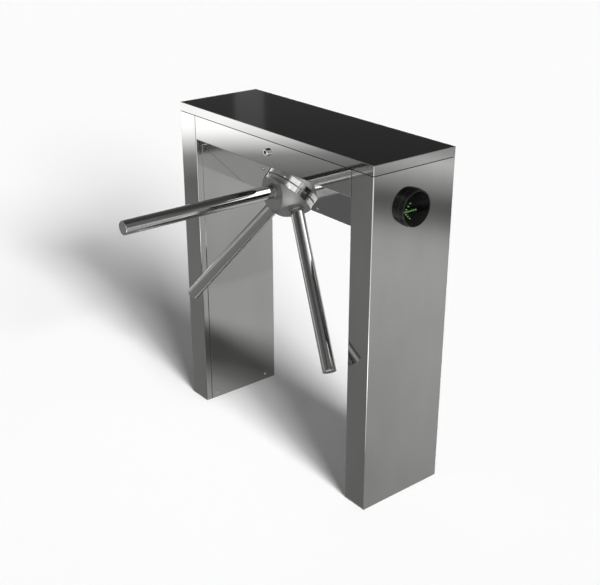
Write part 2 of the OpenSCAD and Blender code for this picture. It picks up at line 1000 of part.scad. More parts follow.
module hub_screws() {
    color("dimgray")
        on_slope()
            hub_screw_places() {
                translate([0, 0, -hub_screw_reach])
                    cylinder(r = hub_screw_radius,
                             h = hub_screw_reach + shaft_flange_end + rim_gap
                                 - hub_screw_head_height);
                translate([0, 0, shaft_flange_end + rim_gap - hub_screw_head_height])
                    cylinder(r = hub_screw_head, h = hub_screw_head_height - seam);
            }
}

// Arms

module arm(index) {
    color("gainsboro")
        along_arm(index)
            translate([0, 0, arm_seat])
                ring(arm_diameter / 2, arm_diameter / 2 - arm_wall,
                     arm_reach - cap_thickness - arm_seat);
}
module arm_1() { arm(0); }
module arm_2() { arm(1); }
module arm_3() { arm(2); }

module arm_caps() {
    cap_radius = arm_diameter / 2;
    plug_radius = cap_radius - arm_wall;
    round_steps = 4;
    color("gainsboro")
        for (k = [0 : arm_count - 1])
            along_arm(k)
                translate([0, 0, arm_reach - cap_thickness])
                    rotate_extrude() polygon(concat(
                        [[0, -cap_plug], [plug_radius, -cap_plug], [plug_radius, 0],
                         [cap_radius, 0]],
                        [for (i = [0 : round_steps])
                            let (a = 90 * i / round_steps)
                            [cap_radius - cap_round * (1 - cos(a)),
                             cap_thickness - cap_round * (1 - sin(a))]],
                        [[0, cap_thickness]]
                    ));
}

// Solid root of each arm: welded in the tube and held in the head by a set screw
module arm_spigots() {
    color("dimgray")
        for (k = [0 : arm_count - 1])
            along_arm(k) {
                translate([0, 0, spigot_start])
                    cylinder(r = spigot_radius, h = arm_seat - spigot_start);
                translate([0, 0, arm_seat])
                    cylinder(r = arm_diameter / 2 - arm_wall, h = spigot_in_tube);
            }
}

module arm_set_screws() {
    color([0.2, 0.2, 0.2])
        set_screw_places()
            translate([0, 0, set_screw_room() - 2 * set_screw_radius - set_screw_length])
                cylinder(r = set_screw_radius, h = set_screw_length);
}

// Lid

module lid_tray() {
    color(steel)
        difference() {
            translate([0, 0, rim_bottom_z])
                round_plate([-half_length, -half_depth], [half_length, half_depth],
                            lid_rim, bend);
            translate([0, 0, rim_bottom_z - cut])
                round_plate([sheet - half_length, sheet - half_depth],
                            [half_length - sheet, half_depth - sheet],
                            lid_floor_z - rim_bottom_z + cut, bend_inner);
            translate([lid_lip - half_length, lid_lip - half_depth, lid_floor_z + sheet])
                cube([body_length - 2 * lid_lip, body_depth - 2 * lid_lip,
                      glass_thickness + cut]);
        }
}

module lid_glass() {
    color([0.05, 0.05, 0.05])
        translate([lid_lip + fit_clearance - half_length, lid_lip + fit_clearance - half_depth,
                   lid_floor_z + sheet])
            cube([body_length - 2 * lid_lip - 2 * fit_clearance,
                  body_depth - 2 * lid_lip - 2 * fit_clearance, glass_thickness]);
}

// Strap that hangs from the lid and ends in a foot below the turned cam
module lid_striker() {
    cam_y = lock_body_length - half_depth;
    strap_y = cam_y + cam_thickness + moving_gap;
    foot_z = lock_z - cam_width / 2 - moving_gap - sheet;
    color("silver") {
        translate([striker_x, strap_y, foot_z])
            cube([striker_width, sheet, lid_floor_z - foot_z]);
        translate([striker_x, strap_y + sheet - striker_reach, foot_z])
            cube([striker_width, striker_reach, sheet]);
        translate([striker_x, strap_y, lid_floor_z - sheet])
            cube([striker_width, striker_reach + sheet, sheet]);
    }
}

// Hinges on the back: each has two knuckles on the body and one between them on the lid
module hinge_places() {
    both_sides()
        translate([body_length * hinge_x_share, hinge_y, hinge_z]) children();
}

module knuckle(start, length, radius) {
    translate([start, 0, 0]) rotate([0, 90, 0]) cylinder(r = radius, h = length);
}

module hinge_body_leaves() {
    total = 3 * hinge_segment;
    leaf_y = half_depth - hinge_y;
    color("silver")
        hinge_places() {
            difference() {
                union() {
                    for (start = [-total / 2, hinge_segment / 2])
                        knuckle(start, hinge_segment, hinge_radius);
                    translate([-total / 2, leaf_y, -hinge_leaf_height - lid_gap / 2])
                        cube([total, hinge_leaf, hinge_leaf_height]);
                }
                knuckle(-total, 2 * total, hinge_pin_radius);
                knuckle(-hinge_segment / 2 - moving_gap, hinge_segment + 2 * moving_gap,
                        hinge_radius + moving_gap);
            }
        }
}

module hinge_pins() {
    color("dimgray")
        hinge_places()
            knuckle(-hinge_segment * 3 / 2, 3 * hinge_segment, hinge_pin_radius);
}

module hinge_lid_leaves() {
    total = 3 * hinge_segment;
    leaf_y = half_depth - hinge_y;
    color("silver")
        hinge_places() {
            difference() {
                union() {
                    knuckle(moving_gap - hinge_segment / 2, hinge_segment - 2 * moving_gap,
                            hinge_radius);
                    translate([-total / 2, leaf_y, lid_gap / 2])
                        cube([total, hinge_leaf, hinge_leaf_height]);
                }
                knuckle(-total, 2 * total, hinge_pin_radius + running_clearance);
                for (start = [-total, hinge_segment / 2 - moving_gap])
                    knuckle(start, total - hinge_segment / 2 + moving_gap,
                            hinge_radius + moving_gap);
            }
        }
}

// Lock

module lock_barrel() {
    edge = 1;
    color("silver")
        at_lock()
            rotate_extrude() polygon([
                [lock_plug_radius + running_clearance, -lock_body_length],
                [lock_body_radius, -lock_body_length],
                [lock_body_radius, 0],
                [lock_radius, 0],
                [lock_radius, lock_reach - edge],
                [lock_radius - edge, lock_reach],
                [lock_plug_radius + running_clearance, lock_reach]
            ]);
}

module lock_nut() {
    color("dimgray")
        at_lock()
            translate([0, 0, -sheet - lock_nut_thickness])
                difference() {
                    cylinder(r = lock_nut_radius, h = lock_nut_thickness, $fn = 6);
                    translate([0, 0, -cut])
                        cylinder(r = lock_body_radius, h = lock_nut_thickness + 2 * cut);
                }
}

module lock_plug() {
    color("gray")
        at_lock()
            difference() {
                translate([0, 0, -lock_body_length - cam_thickness])
                    cylinder(r = lock_plug_radius,
                             h = lock_body_length + cam_thickness + lock_reach - seam);
                translate([-keyway_width / 2, -keyway_height / 2,
                           lock_reach - seam - keyway_depth])
                    cube([keyway_width, keyway_height, keyway_depth + cut]);
            }
}

// The cam stands upright while the lock is open and turns to +X under the striker
module lock_cam() {
    color("silver")
        at_lock()
            translate([0, 0, -lock_body_length - cam_thickness])
                difference() {
                    union() {
                        cylinder(r = cam_width / 2 + cam_thickness, h = cam_thickness);
                        translate([-cam_width / 2, 0, 0])
                            cube([cam_width, cam_length - cam_width / 2, cam_thickness]);
                        translate([0, cam_length - cam_width / 2, 0])
                            cylinder(r = cam_width / 2, h = cam_thickness);
                    }
                    translate([0, 0, -cut])
                        cylinder(r = lock_plug_radius, h = cam_thickness + 2 * cut);
                }
}

// Indicators

// Frame of an indicator: local +Z points out of the leg's end, local +Y up
module at_indicator() {
    translate([half_length, indicator_y, indicator_z]) rotate([90, 0, 90]) children();
}

module indicator_housing() {
    bore = indicator_radius - indicator_step - indicator_wall;
    step_z = indicator_depth - indicator_step_depth;
    edge = 1;
    color([0.08, 0.08, 0.08])
        at_indicator()
            difference() {
                union() {
                    rotate_extrude() polygon([
                        [0, 0],
                        [indicator_radius, 0],
                        [indicator_radius, step_z - edge],
                        [indicator_radius - edge, step_z],
                        [indicator_radius - indicator_step, step_z],
                        [indicator_radius - indicator_step, indicator_depth - edge],
                        [indicator_radius - indicator_step - edge, indicator_depth],
                        [0, indicator_depth]
                    ]);
                    translate([0, 0, -neck_length]) cylinder(r = neck_radius, h = neck_length);
                }
                translate([0, 0, board_seat]) cylinder(r = bore, h = indicator_depth);
                translate([0, 0, indicator_back])
                    cylinder(r = bore - indicator_ledge, h = indicator_depth);
                translate([0, 0, -neck_length - cut])
                    cylinder(r = neck_radius - indicator_wall, h = indicator_depth);
            }
}

// Lens with a flat back and a slightly domed front
module indicator_lens() {
    radius = indicator_radius - indicator_step - indicator_wall - fit_clearance;
    dome = (radius * radius + lens_rise * lens_rise) / 2 / lens_rise;
    steps = 12;
    color([0.1, 0.12, 0.1, 0.6])
        at_indicator()
            translate([0, 0, lens_seat])
                rotate_extrude() polygon(concat(
                    [[0, 0], [radius, 0]],
                    [for (i = [0 : steps])
                        let (reach = radius * (1 - i / steps))
                        [reach, lens_thickness + lens_rise - dome
                                + sqrt(dome * dome - reach * reach)]]
                ));
}

// LED places of the arrow: the tip first, then the shaft and the two barbs
function arrow_places() = concat(
    [for (i = [0 : arrow_steps]) [i, 0]],
    [for (i = [1 : barb_steps], side = [-1, 1]) [i, side * i]]
);

module indicator_board() {
    bore = indicator_radius - indicator_step - indicator_wall;
    color("darkgreen")
        at_indicator()
            translate([0, 0, board_seat]) {
                cylinder(r = bore - fit_clearance, h = board_thickness);
                for (place = arrow_places())
                    translate([arrow_tail_x + (place[0] - arrow_steps) * led_pitch,
                               place[1] * led_pitch - arrow_drop, 0])
                        cylinder(r = led_radius, h = board_thickness + led_height, $fn = 24);
            }
}

module indicator_boards() {
    both_sides() indicator_board();
}
module left_indicator_housing() { mirror([1, 0, 0]) indicator_housing(); }
module right_indicator_housing() { indicator_housing(); }
module left_indicator_lens() { mirror([1, 0, 0]) indicator_lens(); }
module right_indicator_lens() { indicator_lens(); }

// Electronics in the bridge

// Frame of the controller board: lower left corner, local +Z towards the user
module at_board() {
    translate([-board_left, half_depth - sheet - standoff_length,
               slope_bottom_z + 2 * flange + board_inset])
        rotate([90, 0, 0]) children();
}

module board_hole_places() {
    for (x = [board_inset, board_length - board_inset],
         y = [board_inset, board_height - board_inset])
        translate([x, y, 0]) children();
}

module controller_board() {
    relay = [28, 12, 15];
    relay_count = 4;
    relay_start = 3 * board_inset;
    relay_pitch = relay[0] + board_inset;
    chip = [22, 22, 3];
    capacitor_radius = 8;
    capacitor_height = 18;
    capacitor_count = 3;
    color("darkgreen")
        at_board() {
            difference() {
                cube([board_length, board_height, board_thickness]);
                board_hole_places()
                    translate([0, 0, -cut])
                        cylinder(r = standoff_radius / 2, h = board_thickness + 2 * cut);
            }
            for (i = [0 : relay_count - 1])
                translate([relay_start + i * relay_pitch, board_inset, 0])
                    cube([relay[0], relay[1], board_thickness + relay[2]]);
            translate([board_length / 2 - chip[0] / 2, board_height / 2 - chip[1] / 2, 0])
                cube([chip[0], chip[1], board_thickness + chip[2]]);
            for (i = [0 : capacitor_count - 1])
                translate([board_length / 5 + i * 3 * capacitor_radius,
                           board_height * 4 / 5, 0])
                    cylinder(r = capacitor_radius, h = board_thickness + capacitor_height);
        }
}

module board_standoffs() {
    color("silver")
        at_board()
            board_hole_places()
                translate([0, 0, -standoff_length])
                    cylinder(r = standoff_radius, h = standoff_length);
}

module power_supply() {
    supply_x = inner_x - supply_length - 2 * flange;
    slot_count = 10;
    slot_pitch = supply_length / (slot_count + 2);
    slot = 3;
    color("silver")
        translate([supply_x, half_depth - flange - supply_depth, slope_bottom_z + sheet])
            difference() {
                cube([supply_length, supply_depth, supply_height]);
                for (i = [1 : slot_count])
                    translate([i * slot_pitch + slot_pitch / 2, supply_depth / 4,
                               supply_height - slot])
                        cube([slot, supply_depth / 2, slot + cut]);
            }
}

module terminal_block() {
    block_count = floor(terminal_length / terminal_pitch);
    groove = 1;
    color("khaki")
        translate([-board_left, slope_back_y + flange, slope_bottom_z + sheet])
            difference() {
                cube([terminal_length, terminal_depth, terminal_height]);
                for (i = [1 : block_count - 1])
                    translate([i * terminal_pitch - groove / 2, -cut, terminal_height / 2])
                        cube([groove, terminal_depth + 2 * cut, terminal_height]);
                for (i = [0 : block_count - 1])
                    translate([(i + 1 / 2) * terminal_pitch, terminal_depth / 2,
                               terminal_height * 3 / 4])
                        cylinder(r = terminal_pitch / 4, h = terminal_height, $fn = 16);
            }
}

left_leg_shell();
right_leg_shell();
left_leg_cover();
right_leg_cover();
cover_screws();
left_base_plate();
right_base_plate();
front_panel();
back_panel();
lid_buffers();
mechanism_screws();
front_plate();
rear_plate();
plate_pillars();
front_bearing_housing();
front_bearing_outer();
rear_bearing_housing();
rear_bearing_outer();
gearbox();
motor();
brake_coil();
sensor_bracket();
fork_sensor();
controller_board();
board_standoffs();
power_supply();
terminal_block();
left_indicator_housing();
right_indicator_housing();
left_indicator_lens();
right_indicator_lens();
indicator_boards();
lock_barrel();
lock_nut();
hinge_body_leaves();
hinge_pins();
hub_rim();
hub_head();
hub_screws();
arm_1();
arm_2();
arm_3();
arm_caps();
arm_spigots();
arm_set_screws();
main_shaft();
front_bearing_inner();
rear_bearing_inner();
main_gear();
sensor_disc();
brake_armature();
drive_pinion();
pinion_shaft();
lid_tray();
lid_glass();
lid_striker();
hinge_lid_leaves();
lock_plug();
lock_cam();
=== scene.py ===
"""Looks of the tripod turnstile: camera, finishes, the lit arrows and the studio."""

import json
import math

import bmesh
import bpy
from mathutils import Euler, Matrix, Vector


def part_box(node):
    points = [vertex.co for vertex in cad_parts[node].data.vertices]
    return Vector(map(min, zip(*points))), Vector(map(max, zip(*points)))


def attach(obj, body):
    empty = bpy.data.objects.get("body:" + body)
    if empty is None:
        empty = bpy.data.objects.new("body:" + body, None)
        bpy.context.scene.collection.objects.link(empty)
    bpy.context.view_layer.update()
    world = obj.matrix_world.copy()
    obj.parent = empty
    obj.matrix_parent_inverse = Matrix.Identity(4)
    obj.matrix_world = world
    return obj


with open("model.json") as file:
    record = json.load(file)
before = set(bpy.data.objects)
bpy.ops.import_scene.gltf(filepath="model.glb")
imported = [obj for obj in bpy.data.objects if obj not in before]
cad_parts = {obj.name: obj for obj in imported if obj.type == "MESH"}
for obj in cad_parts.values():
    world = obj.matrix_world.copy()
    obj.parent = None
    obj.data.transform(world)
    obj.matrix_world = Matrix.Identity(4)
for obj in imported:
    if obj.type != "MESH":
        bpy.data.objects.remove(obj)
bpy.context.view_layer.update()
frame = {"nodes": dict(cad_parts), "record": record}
NODES = frame["nodes"]
MM = 0.001

# Camera, solved from the cabinet's corners in the photograph
CAMERA_PLACE = (2.0991, -1.7030, 1.6642)
CAMERA_HEADING = math.radians(141.340)
CAMERA_TILT = math.radians(-23.839)
CAMERA_LENS = 60.17
SENSOR_WIDTH = 36
VIEW_DEPTH = 200


def add_camera():
    """The photograph's camera."""
    data = bpy.data.cameras.new("camera")
    data.lens = CAMERA_LENS
    data.sensor_width = SENSOR_WIDTH
    data.clip_end = VIEW_DEPTH
    camera = bpy.data.objects.new("camera", data)
    bpy.context.collection.objects.link(camera)
    camera.location = CAMERA_PLACE
    camera.rotation_euler = Euler(
        (math.pi / 2 + CAMERA_TILT, 0, CAMERA_HEADING - math.pi / 2)
    )
    bpy.context.scene.camera = camera


add_camera()


# Colours, nodes and objects


def linear(hex_colour):
    """Linear RGBA of an sRGB hex colour."""
    channels = [int(hex_colour[i : i + 2], 16) / 255 for i in (1, 3, 5)]
    return [
        c / 12.92 if c <= 0.04045 else ((c + 0.055) / 1.055) ** 2.4 for c in channels
    ] + [1]


def add_node(tree, kind, settings, inputs):
    """Adds a node. An input is a value, or the output of another node to link."""
    node = tree.nodes.new(kind)
    for name, value in settings.items():
        setattr(node, name, value)
    for key, value in inputs.items():
        if isinstance(value, bpy.types.NodeSocket):
            tree.links.new(value, node.inputs[key])
        else:
            node.inputs[key].default_value = value
    return node


def set_stops(ramp, stops):
    """Gives a new colour ramp its stops, as pairs of position and linear colour."""
    elements = ramp.color_ramp.elements
    while len(elements) > len(stops):
        elements.remove(elements[-1])
    while len(elements) < len(stops):
        elements.new(1.0)
    for element, (position, colour) in zip(elements, stops):
        element.position = position
        element.color = colour
    return ramp.outputs["Color"]


def start_material(name, constants):
    """New material: its tree, and its shader with the constants set on its sockets."""
    material = bpy.data.materials.new(name)
    material.use_nodes = True
    tree = material.node_tree
    tree.nodes.clear()
    shader = add_node(tree, "ShaderNodeBsdfPrincipled", {}, constants)
    add_node(tree, "ShaderNodeOutputMaterial", {}, {"Surface": shader.outputs["BSDF"]})
    return material, tree, shader


def make_object(name, shape, material):
    """Object in the scene from a bmesh, which it frees."""
    mesh = bpy.data.meshes.new(name)
    shape.to_mesh(mesh)
    shape.free()
    mesh.materials.append(material)
    made = bpy.data.objects.new(name, mesh)
    bpy.context.collection.objects.link(made)
    return made


# Finishes

# The values between which most of a noise lies
NOISE_LOW = 0.3
NOISE_HIGH = 0.7
# Share by which roughness rises and falls with the grain
ROUGHNESS_SWING = 0.15
# Height of the relief that the grain gives
RELIEF_DEPTH = 0.1 * MM
# Rounding of the edges that catches the light, on folded sheet and on other pieces
SHEET_EDGE = 0.4 * MM
SOLID_EDGE = 0.5 * MM

# Belt-ground sheet. Real strokes are about 0.1 mm wide, and are drawn wider so that they
# show in the render. Sizes are in mm, by the axis that the grain follows.
GRAIN_DIRECTION = {"x": (1, 0, 0), "z": (0, 0, 1)}
STROKE_SIZE = {"x": (70, 0.6, 0.6), "z": (0.6, 0.6, 70)}
DRIFT_SIZE = {"x": (300, 120, 120), "z": (120, 120, 300)}
# How much the strokes add to the slow drift of tone, and the range that the sum covers
STROKE_SHARE = 0.07
TONE_LOW = 0.4
TONE_HIGH = 0.8
STROKE_RELIEF = 0.03
# Quarter turn that lays the smear of a reflection across the grain
ACROSS_GRAIN = 0.25

# Height of the fascia's foot, where the front sheet folds back into the sloped face
FASCIA_FOOT = 883 * MM


def surface_grain(tree, size_mm, detail=3.0):
    """Grain of a finish: a noise whose grains have about the given (x, y, z) size."""
    place = add_node(tree, "ShaderNodeTexCoord", {}, {}).outputs["Object"]
    stretch = [1 / (size * MM) for size in size_mm]
    stretched = add_node(tree, "ShaderNodeMapping", {}, {"Vector": place, "Scale": stretch})
    noise = add_node(
        tree,
        "ShaderNodeTexNoise",
        {},
        {"Vector": stretched.outputs["Vector"], "Scale": 1.0, "Detail": detail},
    )
    return noise.outputs["Fac"]


def apply_grain(tree, shader, grain, colour, roughness, relief, edge):
    """Gives a shader its colour, and a roughness and relief that follow the grain."""
    uneven = add_node(
        tree,
        "ShaderNodeMapRange",
        {},
        {
            "Value": grain,
            "From Min": NOISE_LOW,
            "From Max": NOISE_HIGH,
            "To Min": roughness * (1 - ROUGHNESS_SWING),
            "To Max": roughness * (1 + ROUGHNESS_SWING),
        },
    )
    rounded = add_node(tree, "ShaderNodeBevel", {}, {"Radius": edge})
    raised = add_node(
        tree,
        "ShaderNodeBump",
        {},
        {
            "Height": grain,
            "Strength": relief,
            "Distance": RELIEF_DEPTH,
            "Normal": rounded.outputs["Normal"],
        },
    )
    tree.links.new(colour, shader.inputs["Base Color"])
    tree.links.new(uneven.outputs["Result"], shader.inputs["Roughness"])
    tree.links.new(raised.outputs["Normal"], shader.inputs["Normal"])


def ground_sheet(name, grain, dark, pale, roughness, spread):
    """Stainless sheet ground with a belt along one axis. The eye sees fine strokes along
    the grain, slow changes of tone from sheet to sheet, and reflections that stay sharp
    along the grain and smear across it by the given spread."""
    material, tree, shader = start_material(
        name,
        {"Metallic": 1.0, "Anisotropic": spread, "Anisotropic Rotation": ACROSS_GRAIN},
    )
    strokes = surface_grain(tree, STROKE_SIZE[grain])
    drift = surface_grain(tree, DRIFT_SIZE[grain], detail=2.0)
    tone = add_node(
        tree,
        "ShaderNodeMath",
        {"operation": "MULTIPLY_ADD"},
        {0: strokes, 1: STROKE_SHARE, 2: drift},
    )
    ramp = add_node(tree, "ShaderNodeValToRGB", {}, {"Fac": tone.outputs["Value"]})
    colour = set_stops(ramp, [(TONE_LOW, linear(dark)), (TONE_HIGH, linear(pale))])
    along = add_node(
        tree, "ShaderNodeCombineXYZ", {}, dict(zip("XYZ", GRAIN_DIRECTION[grain]))
    )
    tree.links.new(along.outputs["Vector"], shader.inputs["Tangent"])
    apply_grain(tree, shader, strokes, colour, roughness, STROKE_RELIEF, SHEET_EDGE)
    return material


def polish_below(material, height, polished):
    """Polishes the part of a ground sheet below a height to a bright mirror."""
    tree = material.node_tree
    shader = tree.nodes["Principled BSDF"]
    ground = shader.inputs["Base Color"].links[0].from_socket
    place = add_node(tree, "ShaderNodeTexCoord", {}, {}).outputs["Object"]
    rise = add_node(tree, "ShaderNodeSeparateXYZ", {}, {"Vector": place}).outputs["Z"]
    above = add_node(
        tree, "ShaderNodeMath", {"operation": "GREATER_THAN"}, {0: rise, 1: height}
    )
    blend = add_node(
        tree,
        "ShaderNodeMixRGB",
        {},
        {"Fac": above.outputs["Value"], "Color1": linear(polished), "Color2": ground},
    )
    tree.links.new(blend.outputs["Color"], shader.inputs["Base Color"])
    return material


def even_finish(name, dark, pale, roughness, grain_mm, relief, metallic=0.0, shine=0.5):
    """Finish without direction: polish, blasting, plating, paint, moulded plastic. A shine
    under 0.5 weakens the reflections of one that isn't metal."""
    material, tree, shader = start_material(
        name, {"Metallic": metallic, "Specular IOR Level": shine}
    )
    grain = surface_grain(tree, (grain_mm, grain_mm, grain_mm))
    ramp = add_node(tree, "ShaderNodeValToRGB", {}, {"Fac": grain})
    colour = set_stops(ramp, [(NOISE_LOW, linear(dark)), (NOISE_HIGH, linear(pale))])
    apply_grain(tree, shader, grain, colour, roughness, relief, SOLID_EDGE)
    return material


def smoked_lens():
    """Smoked polycarbonate, moulded: dark, yet clear enough for the lit arrow behind it.
    Its IOR is low, so that the thin lens doesn't grey over with reflections."""
    material, tree, shader = start_material(
        "smoked_polycarbonate",
        {
            "Base Color": linear("#2A2C2A"),
            "Roughness": 0.05,
            "IOR": 1.12,
            "Specular IOR Level": 0.15,
            "Transmission Weight": 1.0,
        },
    )
    return material


def lit_led():
    """Clear green LED, lit: an even pale green glow."""
    material, tree, shader = start_material(
        "lit_green_led",
        {
            "Base Color": linear("#3C8A30"),
            "Roughness": 0.3,
            "Emission Color": linear("#B4F49A"),
            "Emission Strength": 17.0,
        },
    )
    return material


# Numbers of a ground sheet: roughness and spread. Numbers of an even finish: roughness,
# grain in mm, strength of the relief, and 1 for a metal.
FINISH = {
    # Stainless sheet, belt-ground upright: fine strokes, lights smeared across them
    "brushed_shell": ground_sheet(
        "belt_ground_upright", "z", "#91918F", "#979796", 0.07, 0.3
    ),
    # Stainless sheet, ground lengthwise with a fine belt: darker, and nearly a mirror
    "lid_steel": ground_sheet("belt_ground_lid", "x", "#868685", "#8C8C8B", 0.06, 0.0),
    # Float glass painted on its back: deep black under faint, clear reflections
    "black_glass": even_finish(
        "back_painted_glass", "#040404", "#050505", 0.09, 40, 0.0, shine=0.025
    ),
    # Stainless tube, polished: long bright and dark stripes along each arm
    "polished_steel": even_finish("polished_tube", "#9E9E9D", "#A6A6A5", 0.06, 6, 0.02, 1.0),
    # Stainless casting, blasted: soft grey shading without clear reflections
    "satin_casting": even_finish(
        "blasted_casting", "#7E7E7D", "#868685", 0.52, 0.5, 0.15, 1.0
    ),
    # Steel, zinc-plated: pale and bright, with slightly cloudy reflections
    "plated_steel": even_finish("zinc_plate", "#B0B0B0", "#BCBCBC", 0.14, 1.5, 0.05, 1.0),
    # Steel, black oxide: nearly black, with dull highlights
    "dark_steel": even_finish("black_oxide", "#2A2A2B", "#353536", 0.45, 1.0, 0.15, 1.0),
    # Steel plate, powder-coated: dark grey, matt and faintly pebbled
    "painted_plate": even_finish("powder_coat", "#3A3D42", "#42454A", 0.5, 1.2, 0.3),
    # Aluminium, machined: pale, with a soft sheen
    "machined_aluminium": even_finish(
        "machined_aluminium", "#A0A2A4", "#AFB1B3", 0.3, 1.0, 0.1, 1.0
    ),
    # Bearing steel, ground: bright rings with clear reflections
    "bearing_steel": even_finish(
        "ground_bearing_ring", "#ACACAD", "#B8B8B9", 0.12, 1.0, 0.05, 1.0
    ),
    # Bronze, cut: warm yellow teeth with a soft sheen
    "gear_bronze": even_finish("gear_bronze", "#A8803A", "#B98F45", 0.32, 1.0, 0.1, 1.0),
    # Enamel on a steel motor case: black, half gloss
    "motor_enamel": even_finish("motor_enamel", "#0C0C0E", "#121214", 0.35, 1.0, 0.2),
    # Enamel on the brake's coil: dark red, half gloss
    "brake_enamel": even_finish("red_coil_enamel", "#5A0E0A", "#6A1410", 0.4, 1.0, 0.2),
    # ABS, moulded: black with weak, blurred reflections
    "black_plastic": even_finish(
        "moulded_black_plastic", "#050505", "#080808", 0.3, 0.8, 0.1, shine=0.2
    ),
    "smoked_lens": smoked_lens(),
    # Glass-fibre board under green lacquer: dark green, half gloss
    "circuit_board": even_finish("board_laminate", "#0C3A20", "#104A2A", 0.4, 2.0, 0.1),
    # Polyamide, moulded: dull cream
    "terminal_plastic": even_finish(
        "polyamide_terminal", "#9A927C", "#A8A08A", 0.5, 1.0, 0.15
    ),
    # Rubber, moulded: black without a shine
    "buffer_rubber": even_finish("black_rubber", "#0E0E0E", "#141414", 0.7, 0.8, 0.3),
}
SPECIAL_FINISH = {
    # Stainless sheet, ground above and polished on the sloped face, which mirrors the
    # left leg's cover and the hub's rim at nearly their own tone
    "front_panel": polish_below(
        ground_sheet("belt_ground_front", "x", "#929291", "#989897", 0.05, 0.0),
        FASCIA_FOOT,
        "#F4F4F3",
    ),
    # Stainless sheet, ground lengthwise with a fine belt, in the tone of the front
    "back_panel": ground_sheet(
        "belt_ground_lengthwise", "x", "#929291", "#989897", 0.05, 0.0
    ),
    # Stainless steel, turned and polished: a bright band round the hub
    "hub_rim": even_finish("polished_rim", "#C0C0BF", "#C8C8C7", 0.14, 6, 0.02, 1.0),
    "lock_plug": FINISH["dark_steel"],
}


def dress(node, material):
    """Gives a CAD node its finish."""
    slots = NODES[node].data.materials
    slots.clear()
    slots.append(material)


for subpart in frame["record"]["subparts"]:
    dress(subpart["node"], FINISH[subpart["material_slot"]])
for node, finish in SPECIAL_FINISH.items():
    dress(node, finish)


# Lit arrows behind the lenses: domed LEDs over the solid ones of the CAD boards

LED_RADIUS = 1.55 * MM
LED_HEIGHT = 4.2 * MM
LED_PITCH = 6.5 * MM
LED_SIDES = 16
DOME_STEPS = 6
# Shift that puts the lit domes just over the solid ones
LED_SHIFT = 0.2 * MM
# Pitches from the arrow's tip to its tail, and from its tip to the end of a barb
ARROW_STEPS = 6
BARB_STEPS = 3
# Place of the tail behind the lens's middle, and of the arrow below it
ARROW_TAIL = 3 * MM
ARROW_DROP = 4 * MM
LIT_LED = lit_led()


def arrow_places():
    """Steps along and across the arrow: its shaft, with the tip at 0, then its two barbs."""
    shaft = [(step, 0) for step in range(ARROW_STEPS + 1)]
    barbs = [(step, side * step) for step in range(1, BARB_STEPS + 1) for side in (-1, 1)]
    return shaft + barbs


def add_led(shape, foot, outward):
    """Spins a domed LED about the axis through its foot."""
    dome = LED_HEIGHT - LED_RADIUS
    profile = [(LED_RADIUS, 0.0)]
    for i in range(DOME_STEPS + 1):
        angle = math.pi / 2 * i / DOME_STEPS
        profile.append((LED_RADIUS * math.cos(angle), dome + LED_RADIUS * math.sin(angle)))
    points = [
        shape.verts.new((foot[0] + outward * height, foot[1] + radius, foot[2]))
        for radius, height in profile
    ]
    edges = [shape.edges.new(pair) for pair in zip(points, points[1:])]
    bmesh.ops.spin(
        shape,
        geom=points + edges,
        cent=foot,
        axis=(1, 0, 0),
        angle=2 * math.pi,
        steps=LED_SIDES,
        use_merge=True,
    )


def add_arrow(side, outward):
    """Arrow of lit LEDs on one side's board, which points towards the tripod's side."""
    lens_low, lens_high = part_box(side + "_indicator_lens")
    centre_y = (lens_low[1] + lens_high[1]) / 2
    centre_z = (lens_low[2] + lens_high[2]) / 2
    board_low, board_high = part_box("indicator_boards")
    board_x = board_high[0] - LED_HEIGHT if outward > 0 else board_low[0] + LED_HEIGHT
    shape = bmesh.new()
    for along, across in arrow_places():
        foot = Vector(
            (
                board_x + outward * LED_SHIFT,
                centre_y + ARROW_TAIL + (along - ARROW_STEPS) * LED_PITCH,
                centre_z - ARROW_DROP + across * LED_PITCH,
            )
        )
        add_led(shape, foot, outward)
    bmesh.ops.recalc_face_normals(shape, faces=shape.faces)
    leds = make_object(side + "_arrow_leds", shape, LIT_LED)
    leds.data.shade_smooth()
    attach(leds, "cabinet")


add_arrow("left", -1)
add_arrow("right", 1)


# Studio: a white floor, two suns for its shadows, and what the steel mirrors

# Point on the cabinet that the softboxes face, in metres
AIM = Vector((0, 0, 0.8))
SUN_DISTANCE = 5
FLOOR_REACH = 40
# Height at which the cards lie over the floor
CARD_HEIGHT = 2 * MM

# Brightness of each card, by the distance in metres from the cabinet's middle along the
# card's heading. The fronts show the dim near part of this one, and the top of the left
# leg and the fascia beside it show its bright strip.
FRONT_CARD = [
    (0.0, 0.36),
    (1.5, 0.42),
    (2.8, 0.36),
    (3.25, 0.7),
    (3.8, 3.0),
    (4.1, 3.6),
    (4.8, 3.6),
    (5.4, 0.6),
    (16.0, 0.6),
]
# The right end shows this one, whose dark strip comes just under the lid
BACK_CARD = [
    (0.2, 0.72),
    (0.4, 0.81),
    (1.7, 1.06),
    (2.0, 1.0),
    (2.15, 0.85),
    (2.36, 0.42),
    (2.5, 0.28),
    (2.62, 0.28),
    (2.95, 0.82),
    (3.31, 1.5),
    (3.55, 1.0),
    (5.0, 0.9),
]
# The rounded corner of the right leg catches this one
EDGE_CARD = [(0.0, 2.4), (0.9, 2.4), (1.05, 5.0), (1.35, 5.0), (1.5, 2.4), (5.0, 2.4)]
# Brightness of the studio's walls and ceiling, by the sine of the elevation
SKY = [
    (0.0, 0.96),
    (0.03, 0.72),
    (0.13, 0.45),
    (0.19, 0.23),
    (0.41, 0.34),
    (0.54, 0.2),
    (0.85, 0.1),
]


def even(level):
    """Brightness of a card that is the same all over."""
    return [(1.0, level)]


def direction(azimuth, elevation):
    """Unit vector towards an azimuth and elevation in degrees."""
    a = math.radians(azimuth)
    e = math.radians(elevation)
    return Vector((math.cos(a) * math.cos(e), math.sin(a) * math.cos(e), math.sin(e)))


